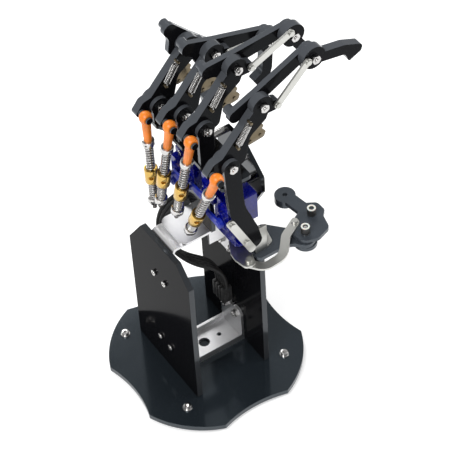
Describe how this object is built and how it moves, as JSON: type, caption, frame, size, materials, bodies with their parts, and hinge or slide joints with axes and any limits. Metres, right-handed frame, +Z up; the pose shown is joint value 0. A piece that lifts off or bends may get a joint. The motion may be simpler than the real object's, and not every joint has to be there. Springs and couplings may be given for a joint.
{
  "type": "dexterous robot hand",
  "caption": "Desktop robot hand on an upright stand, with linkage fingers pushed by sprung servo rods and a crank-driven sideways thumb.",
  "frame": {"origin": "on the surface it stands on, in the middle between the four feet", "axes": "+Z up; +X from the left upright to the right one, the way the palm faces; +Y along the knuckles towards the little finger"},
  "size_m": [0.167, 0.1281, 0.292],
  "materials": {
    "black_acrylic": "polished black acrylic sheet",
    "aluminium": "fine bead blasted",
    "bright_steel": "bright zinc plated",
    "brown_steel": "darkened steel sheet",
    "brass": "turned brass",
    "orange_plastic": "moulded nylon",
    "servo_plastic": "translucent blue moulding",
    "horn_plastic": "moulded nylon",
    "foot_rubber": "plain",
    "lead_sleeve": "braided sleeve",
    "plug_plastic": "moulded"
  },
  "bodies": {
    "frame": {"base_plate": "black_acrylic", "upright_left": "black_acrylic", "upright_right": "black_acrylic", "servo_panel": "black_acrylic", "palm_deck": "black_acrylic", "knuckle_cheeks": "black_acrylic", "side_arm": "black_acrylic", "palm_cover": "black_acrylic", "thumb_base": "black_acrylic", "wrist_bracket": "aluminium", "cross_bracket": "aluminium", "mount_plate": "aluminium", "stand_screws": "bright_steel", "knuckle_bolts": "bright_steel", "thumb_bracket": "bright_steel", "cover_spacers": "bright_steel", "base_feet": "foot_rubber", "finger_servos": "servo_plastic", "thumb_servo": "servo_plastic", "lead_harness": "lead_sleeve", "lead_connectors": "plug_plastic"},
    "little_proximal": {"proximal_1": "black_acrylic", "side_plate_1": "brown_steel"},
    "little_middle": {"middle_1": "black_acrylic"},
    "little_distal": {"distal_1": "black_acrylic"},
    "little_tip_link": {"tip_link_1": "bright_steel"},
    "little_rod": {"ball_link_1": "orange_plastic", "push_rod_1": "bright_steel", "brass_block_1": "brass"},
    "little_horn": {"servo_horn_1": "horn_plastic"},
    "ring_proximal": {"proximal_2": "black_acrylic", "side_plate_2": "brown_steel"},
    "ring_middle": {"middle_2": "black_acrylic"},
    "ring_distal": {"distal_2": "black_acrylic"},
    "ring_tip_link": {"tip_link_2": "bright_steel"},
    "ring_rod": {"ball_link_2": "orange_plastic", "push_rod_2": "bright_steel", "brass_block_2": "brass"},
    "ring_horn": {"servo_horn_2": "horn_plastic"},
    "middle_proximal": {"proximal_3": "black_acrylic", "side_plate_3": "brown_steel"},
    "middle_middle": {"middle_3": "black_acrylic"},
    "middle_distal": {"distal_3": "black_acrylic"},
    "middle_tip_link": {"tip_link_3": "bright_steel"},
    "middle_rod": {"ball_link_3": "orange_plastic", "push_rod_3": "bright_steel", "brass_block_3": "brass"},
    "middle_horn": {"servo_horn_3": "horn_plastic"},
    "index_proximal": {"proximal_4": "black_acrylic", "side_plate_4": "brown_steel"},
    "index_middle": {"middle_4": "black_acrylic"},
    "index_distal": {"distal_4": "black_acrylic"},
    "index_tip_link": {"tip_link_4": "bright_steel"},
    "index_rod": {"ball_link_4": "orange_plastic", "push_rod_4": "bright_steel", "brass_block_4": "brass"},
    "index_horn": {"servo_horn_4": "horn_plastic"},
    "thumb_tip": {"thumb_tip": "black_acrylic"},
    "thumb_link": {"thumb_link": "bright_steel"},
    "thumb_crank": {"thumb_crank": "bright_steel"}
  },
  "joints": [
    {"name": "little_knuckle", "type": "hinge", "parent": "frame", "child": "little_proximal", "pos_m": [-0.003, 0.032, 0.224], "axis": [0, 1, 0], "range_deg": [-28, 8]},
    {"name": "little_middle_joint", "type": "hinge", "parent": "little_proximal", "child": "little_middle", "pos_m": [0.02379, 0.032, 0.25891], "axis": [0, 1, 0], "range_deg": [-22.9, 6.9]},
    {"name": "little_distal_joint", "type": "hinge", "parent": "little_middle", "child": "little_distal", "pos_m": [0.05472, 0.032, 0.22904], "axis": [0, 1, 0], "range_deg": [-3.3, 10.3]},
    {"name": "little_tip_link_pivot", "type": "hinge", "parent": "little_proximal", "child": "little_tip_link", "pos_m": [0.03349, 0.032, 0.25612], "axis": [0, 1, 0], "range_deg": [-29.98, 8.92]},
    {"name": "little_ball_joint", "type": "hinge", "parent": "little_proximal", "child": "little_rod", "pos_m": [-0.01573, 0.0235, 0.22318], "axis": [0, 1, 0], "range_deg": [-8.5, 28.5]},
    {"name": "little_servo_shaft", "type": "hinge", "parent": "frame", "child": "little_horn", "pos_m": [-0.00775, 0.0121, 0.17018], "axis": [1, 0, 0], "range_deg": [-28.5, 8.5]},
    {"name": "ring_knuckle", "type": "hinge", "parent": "frame", "child": "ring_proximal", "pos_m": [0, 0.007, 0.2338], "axis": [0, 1, 0], "range_deg": [-28, 15]},
    {"name": "ring_middle_joint", "type": "hinge", "parent": "ring_proximal", "child": "ring_middle", "pos_m": [0.02679, 0.007, 0.26871], "axis": [0, 1, 0], "range_deg": [-22.9, 12.5]},
    {"name": "ring_distal_joint", "type": "hinge", "parent": "ring_middle", "child": "ring_distal", "pos_m": [0.06832, 0.007, 0.25758], "axis": [0, 1, 0], "range_deg": [-13.66, 7.55]},
    {"name": "ring_tip_link_pivot", "type": "hinge", "parent": "ring_proximal", "child": "ring_tip_link", "pos_m": [0.03649, 0.007, 0.26592], "axis": [0, 1, 0], "range_deg": [-29.23, 15.89]},
    {"name": "ring_ball_joint", "type": "hinge", "parent": "ring_proximal", "child": "ring_rod", "pos_m": [-0.01273, -0.0015, 0.23298], "axis": [0, 1, 0], "range_deg": [-15.5, 28.5]},
    {"name": "ring_servo_shaft", "type": "hinge", "parent": "frame", "child": "ring_horn", "pos_m": [-0.00775, -0.004, 0.17998], "axis": [1, 0, 0], "range_deg": [-28.5, 15.5]},
    {"name": "middle_knuckle", "type": "hinge", "parent": "frame", "child": "middle_proximal", "pos_m": [0, -0.018, 0.24], "axis": [0, 1, 0], "range_deg": [-28, 25]},
    {"name": "middle_middle_joint", "type": "hinge", "parent": "middle_proximal", "child": "middle_middle", "pos_m": [0.02679, -0.018, 0.27491], "axis": [0, 1, 0], "range_deg": [-22.9, 20.5]},
    {"name": "middle_distal_joint", "type": "hinge", "parent": "middle_middle", "child": "middle_distal", "pos_m": [0.06955, -0.018, 0.2794], "axis": [0, 1, 0], "range_deg": [-25.7, 23]},
    {"name": "middle_tip_link_pivot", "type": "hinge", "parent": "middle_proximal", "child": "middle_tip_link", "pos_m": [0.03649, -0.018, 0.27212], "axis": [0, 1, 0], "range_deg": [-26.88, 24.05]},
    {"name": "middle_ball_joint", "type": "hinge", "parent": "middle_proximal", "child": "middle_rod", "pos_m": [-0.01273, -0.0265, 0.23918], "axis": [0, 1, 0], "range_deg": [-25.5, 28.5]},
    {"name": "middle_servo_shaft", "type": "hinge", "parent": "frame", "child": "middle_horn", "pos_m": [-0.00775, -0.0258, 0.18618], "axis": [1, 0, 0], "range_deg": [-28.5, 25.5]},
    {"name": "index_knuckle", "type": "hinge", "parent": "frame", "child": "index_proximal", "pos_m": [0, -0.046, 0.23], "axis": [0, 1, 0], "range_deg": [-12, 30]},
    {"name": "index_middle_joint", "type": "hinge", "parent": "index_proximal", "child": "index_middle", "pos_m": [0.02679, -0.046, 0.26491], "axis": [0, 1, 0], "range_deg": [-10.1, 24.5]},
    {"name": "index_distal_joint", "type": "hinge", "parent": "index_middle", "child": "index_distal", "pos_m": [0.06543, -0.046, 0.28376], "axis": [0, 1, 0], "range_deg": [-16.7, 41]},
    {"name": "index_tip_link_pivot", "type": "hinge", "parent": "index_proximal", "child": "index_tip_link", "pos_m": [0.03649, -0.046, 0.26212], "axis": [0, 1, 0], "range_deg": [-10.34, 25.1]},
    {"name": "index_ball_joint", "type": "hinge", "parent": "index_proximal", "child": "index_rod", "pos_m": [-0.01273, -0.0545, 0.22918], "axis": [0, 1, 0], "range_deg": [-30.5, 12.5]},
    {"name": "index_servo_shaft", "type": "hinge", "parent": "frame", "child": "index_horn", "pos_m": [-0.00775, -0.043, 0.17618], "axis": [1, 0, 0], "range_deg": [-12.5, 30.5]},
    {"name": "thumb_hinge", "type": "hinge", "parent": "frame", "child": "thumb_tip", "pos_m": [0.051, -0.0559, 0.135], "axis": [0, 0, 1], "range_deg": [-20, 22]},
    {"name": "thumb_servo_shaft", "type": "hinge", "parent": "frame", "child": "thumb_crank", "pos_m": [0.0098, -0.0391, 0.144], "axis": [0, 0, 1], "range_deg": [-15, 13.7]},
    {"name": "thumb_link_pivot", "type": "hinge", "parent": "thumb_crank", "child": "thumb_link", "pos_m": [0.0055, -0.0572, 0.142], "axis": [0, 0, 1], "range_deg": [-11.7, 12.8]}
  ],
  "couplings": [
    {"joint": "little_middle_joint", "follows": "little_knuckle", "ratio": 0.8},
    {"joint": "little_distal_joint", "follows": "little_knuckle", "ratio": -0.35},
    {"joint": "little_tip_link_pivot", "follows": "little_knuckle", "ratio": 1.053},
    {"joint": "little_ball_joint", "follows": "little_knuckle", "ratio": -1},
    {"joint": "little_servo_shaft", "follows": "little_knuckle", "ratio": 1},
    {"joint": "ring_middle_joint", "follows": "ring_knuckle", "ratio": 0.8},
    {"joint": "ring_distal_joint", "follows": "ring_knuckle", "ratio": 0.47},
    {"joint": "ring_tip_link_pivot", "follows": "ring_knuckle", "ratio": 1.026},
    {"joint": "ring_ball_joint", "follows": "ring_knuckle", "ratio": -1},
    {"joint": "ring_servo_shaft", "follows": "ring_knuckle", "ratio": 1},
    {"joint": "middle_middle_joint", "follows": "middle_knuckle", "ratio": 0.8},
    {"joint": "middle_distal_joint", "follows": "middle_knuckle", "ratio": 0.9},
    {"joint": "middle_tip_link_pivot", "follows": "middle_knuckle", "ratio": 0.942},
    {"joint": "middle_ball_joint", "follows": "middle_knuckle", "ratio": -1},
    {"joint": "middle_servo_shaft", "follows": "middle_knuckle", "ratio": 1},
    {"joint": "index_middle_joint", "follows": "index_knuckle", "ratio": 0.8},
    {"joint": "index_distal_joint", "follows": "index_knuckle", "ratio": 1.35},
    {"joint": "index_tip_link_pivot", "follows": "index_knuckle", "ratio": 0.82},
    {"joint": "index_ball_joint", "follows": "index_knuckle", "ratio": -1},
    {"joint": "index_servo_shaft", "follows": "index_knuckle", "ratio": 1},
    {"joint": "thumb_servo_shaft", "follows": "thumb_hinge", "ratio": -0.658},
    {"joint": "thumb_link_pivot", "follows": "thumb_hinge", "ratio": 0.556}
  ]
}
